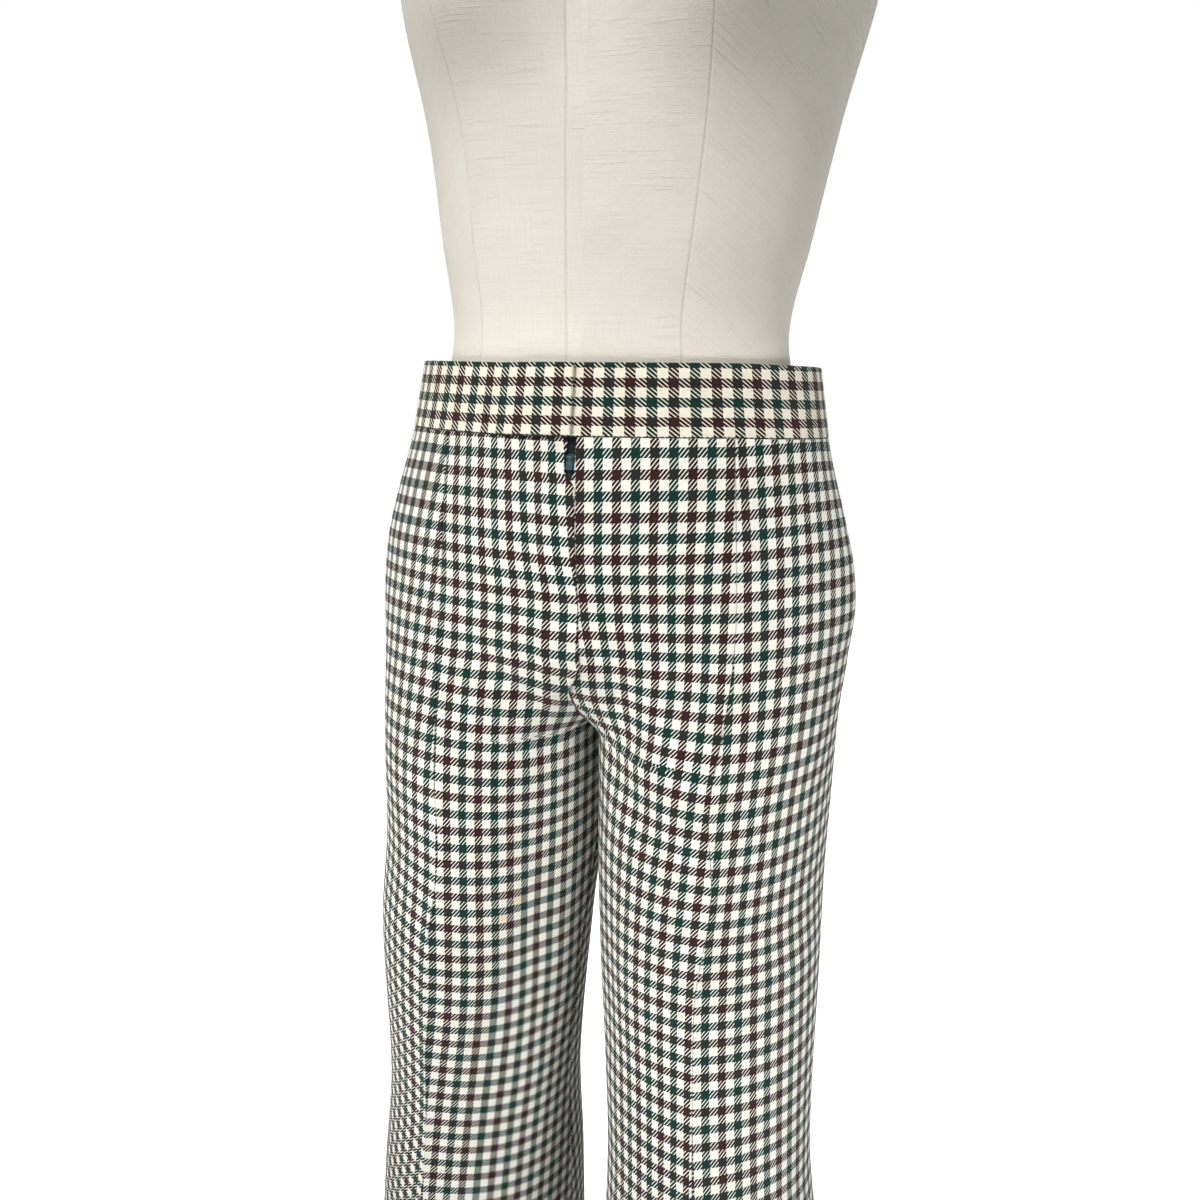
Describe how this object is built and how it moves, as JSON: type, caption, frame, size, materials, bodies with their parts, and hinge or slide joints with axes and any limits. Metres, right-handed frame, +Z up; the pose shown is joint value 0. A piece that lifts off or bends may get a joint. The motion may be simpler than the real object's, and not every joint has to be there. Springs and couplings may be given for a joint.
{
  "type": "wide-leg trousers on a dress form",
  "caption": "Wide-leg checked wool trousers with pressed front seams, worn by a limbless linen dress form on a pole and round base.",
  "frame": {"origin": "middle of the base plate's underside, on the floor", "axes": "+Z up; the trousers' front faces -Y; the wearer's left side is at +X"},
  "size_m": [0.44, 0.44, 1.5743],
  "materials": {
    "checked_wool": "firm wool twill, cream with a burgundy and dark green check, soft nap",
    "waistband_wool": "the same wool twill cut on the cross grain, its check turned",
    "zip_tape": "dark woven zip tape, matt",
    "zip_metal": "dark teal enamelled metal, satin",
    "form_linen": "natural off-white linen cover, plain weave with slubs and fine seams",
    "stand_paint": "off-white paint, satin"
  },
  "bodies": {
    "trousers_and_form": {"back_left": "checked_wool", "back_right": "checked_wool", "form_body": "form_linen", "form_neck_cap": "stand_paint", "front_centre_left": "checked_wool", "front_centre_right": "checked_wool", "front_side_left": "checked_wool", "front_side_right": "checked_wool", "pole_collar": "stand_paint", "stand_base": "stand_paint", "stand_pole": "stand_paint", "waistband": "waistband_wool", "zip_slider": "zip_metal", "zip_tape": "zip_tape"},
    "pull_tab": {"zip_pull_tab": "zip_metal"}
  },
  "joints": [
    {"name": "pull_tab_swing", "type": "hinge", "parent": "trousers_and_form", "child": "pull_tab", "pos_m": [0.00019, -0.09678, 1.01222], "axis": [-1, 0, 0], "range_deg": [0, 170]}
  ]
}
